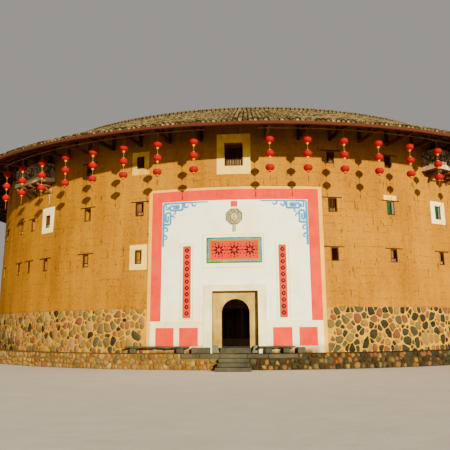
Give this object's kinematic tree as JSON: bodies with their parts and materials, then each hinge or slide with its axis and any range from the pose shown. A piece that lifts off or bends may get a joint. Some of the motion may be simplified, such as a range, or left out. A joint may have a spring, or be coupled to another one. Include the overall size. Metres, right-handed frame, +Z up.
{
  "type": "round rammed-earth house, 1:2 scale model",
  "caption": "Round rammed-earth house of four storeys with a stone base, a plastered gate with two leaves, wide tiled eaves and a galleried court; 1:2 scale model.",
  "frame": {"origin": "centre of the round plan at ground level", "axes": "+Z up, the gate faces -Y, +X to the right of someone facing the gate"},
  "size_m": [21.82, 21.798, 7.08],
  "materials": {
    "rammed_earth": "matt ochre rammed earth",
    "cobbles": "river boulders in ochre mortar",
    "granite": "worn dressed granite",
    "sandstone": "dressed tan stone",
    "white_plaster": "lime plaster",
    "salmon_plaster": "red-washed plaster",
    "red_board": "red painted board",
    "carved_wood": "weathered carved wood",
    "gate_boards": "dark oiled boards",
    "old_timber": "weathered fir timber",
    "roof_tile": "grey clay tiles",
    "lime_wash": "weathered lime wash",
    "lantern_cloth": "red lantern cloth"
  },
  "bodies": {
    "house": {"stone_base_right": "cobbles", "earth_wall_right": "rammed_earth", "stone_base_rear": "cobbles", "earth_wall_rear": "rammed_earth", "stone_base_left": "cobbles", "earth_wall_left": "rammed_earth", "apron_right": "cobbles", "eave_beams_right": "old_timber", "apron_left": "cobbles", "eave_beams_left": "old_timber", "court_frame_front_right": "old_timber", "court_frame_rear_right": "old_timber", "court_frame_rear_left": "old_timber", "court_frame_front_left": "old_timber", "gate_wall_left": "rammed_earth", "gate_wall_right": "rammed_earth", "gate_wall_over": "rammed_earth", "gate_sill": "granite", "gate_arch_stone": "sandstone", "gate_head_beam": "old_timber", "guard_stone_left": "granite", "guard_stone_right": "granite", "gate_surround": "granite", "gate_plaster": "white_plaster", "gate_red_band": "salmon_plaster", "name_board": "red_board", "couplet_left": "red_board", "couplet_right": "red_board", "gate_emblem": "carved_wood", "bench_left": "granite", "bench_right": "granite", "end_block_left": "granite", "end_block_right": "granite", "gate_step_1": "granite", "gate_step_2": "granite", "gate_step_3": "granite", "ground_floor": "granite", "floor_2": "old_timber", "floor_3": "old_timber", "floor_4": "old_timber", "room_front_1": "old_timber", "room_front_2": "old_timber", "room_front_3": "old_timber", "room_front_4": "old_timber", "roof_outer_slope": "roof_tile", "roof_court_slope": "roof_tile", "roof_ridge": "roof_tile", "lookout_front_left": "lime_wash", "lookout_front_right": "lime_wash", "lookout_rear_right": "lime_wash", "lookout_rear_left": "lime_wash", "lanterns_left": "lantern_cloth", "lanterns_right": "lantern_cloth"},
    "left_leaf": {"gate_leaf_left": "gate_boards"},
    "right_leaf": {"gate_leaf_right": "gate_boards"}
  },
  "joints": [
    {"name": "left_leaf_hinge", "type": "hinge", "parent": "house", "child": "left_leaf", "pos_m": [-0.42, -9.13, 0.4925], "axis": [0, 0, -1], "range_deg": [0, 90]},
    {"name": "right_leaf_hinge", "type": "hinge", "parent": "house", "child": "right_leaf", "pos_m": [0.42, -9.13, 0.4925], "axis": [0, 0, 1], "range_deg": [0, 90]}
  ]
}
